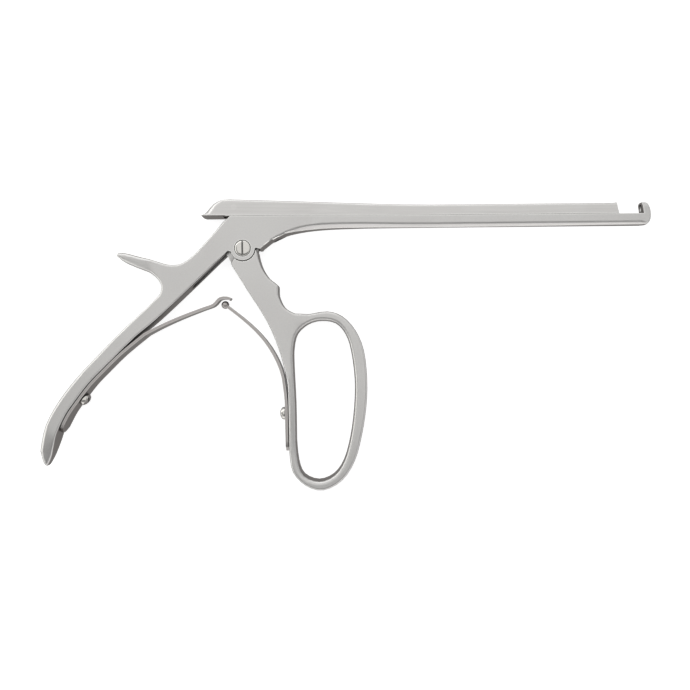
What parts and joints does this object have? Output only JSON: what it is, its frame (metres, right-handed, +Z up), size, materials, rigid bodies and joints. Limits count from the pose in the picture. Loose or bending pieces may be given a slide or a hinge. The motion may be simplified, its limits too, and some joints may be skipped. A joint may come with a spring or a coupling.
{
  "type": "bone rongeur",
  "caption": "Surgical bone punch with a two-part sliding shaft and hooked foot tip, curved rear handle with thumb spur, finger-ring lever and twin leaf springs.",
  "frame": {"origin": "centre of the footprint of the instrument lying on its side, on the surface it lies on", "axes": "+X along the shaft to the cutting tip, +Y away from the finger ring in the plane of the handles, +Z up through the thickness"},
  "size_m": [0.3096, 0.1468, 0.0106],
  "materials": {
    "satin_steel": "satin forged stainless steel with rounded edges",
    "brushed_steel": "fine brushing along the shaft",
    "spring_steel": "ground spring steel",
    "screw_steel": "turned and polished"
  },
  "bodies": {
    "frame": {"frame": "satin_steel", "pivot_screw": "screw_steel", "rear_leaf_root": "spring_steel", "rear_spring_screw": "screw_steel"},
    "slide": {"slide": "brushed_steel", "drive_pin": "screw_steel"},
    "lever": {"ring_lever": "satin_steel", "front_leaf_root": "spring_steel", "front_spring_screw": "screw_steel"},
    "rear_blade": {"rear_leaf_blade": "spring_steel"},
    "front_blade": {"front_leaf_blade": "spring_steel"}
  },
  "joints": [
    {"name": "lever_pivot", "type": "hinge", "parent": "frame", "child": "lever", "pos_m": [-0.0513, 0.04863, 0.005], "axis": [0, 0, -1], "range_deg": [0, 32.5], "stiffness_Nm_per_rad": 1.2, "springref_deg": -14.32},
    {"name": "slide_travel", "type": "slide", "parent": "frame", "child": "slide", "axis": [1, 0, 0], "range_m": [0, 0.0121]},
    {"name": "rear_leaf_flex", "type": "hinge", "parent": "frame", "child": "rear_blade", "pos_m": [-0.10103, 0.00596, 0.005], "axis": [0, 0, 1], "range_deg": [0, 14.93]},
    {"name": "front_leaf_flex", "type": "hinge", "parent": "lever", "child": "front_blade", "pos_m": [-0.03172, -0.01628, 0.005], "axis": [0, 0, -1], "range_deg": [0, 10.22]}
  ],
  "couplings": [
    {"joint": "slide_travel", "follows": "lever_pivot", "m_per_rad": 0.02133},
    {"joint": "rear_leaf_flex", "follows": "lever_pivot", "ratio": 0.4589},
    {"joint": "front_leaf_flex", "follows": "lever_pivot", "ratio": 0.3141}
  ]
}
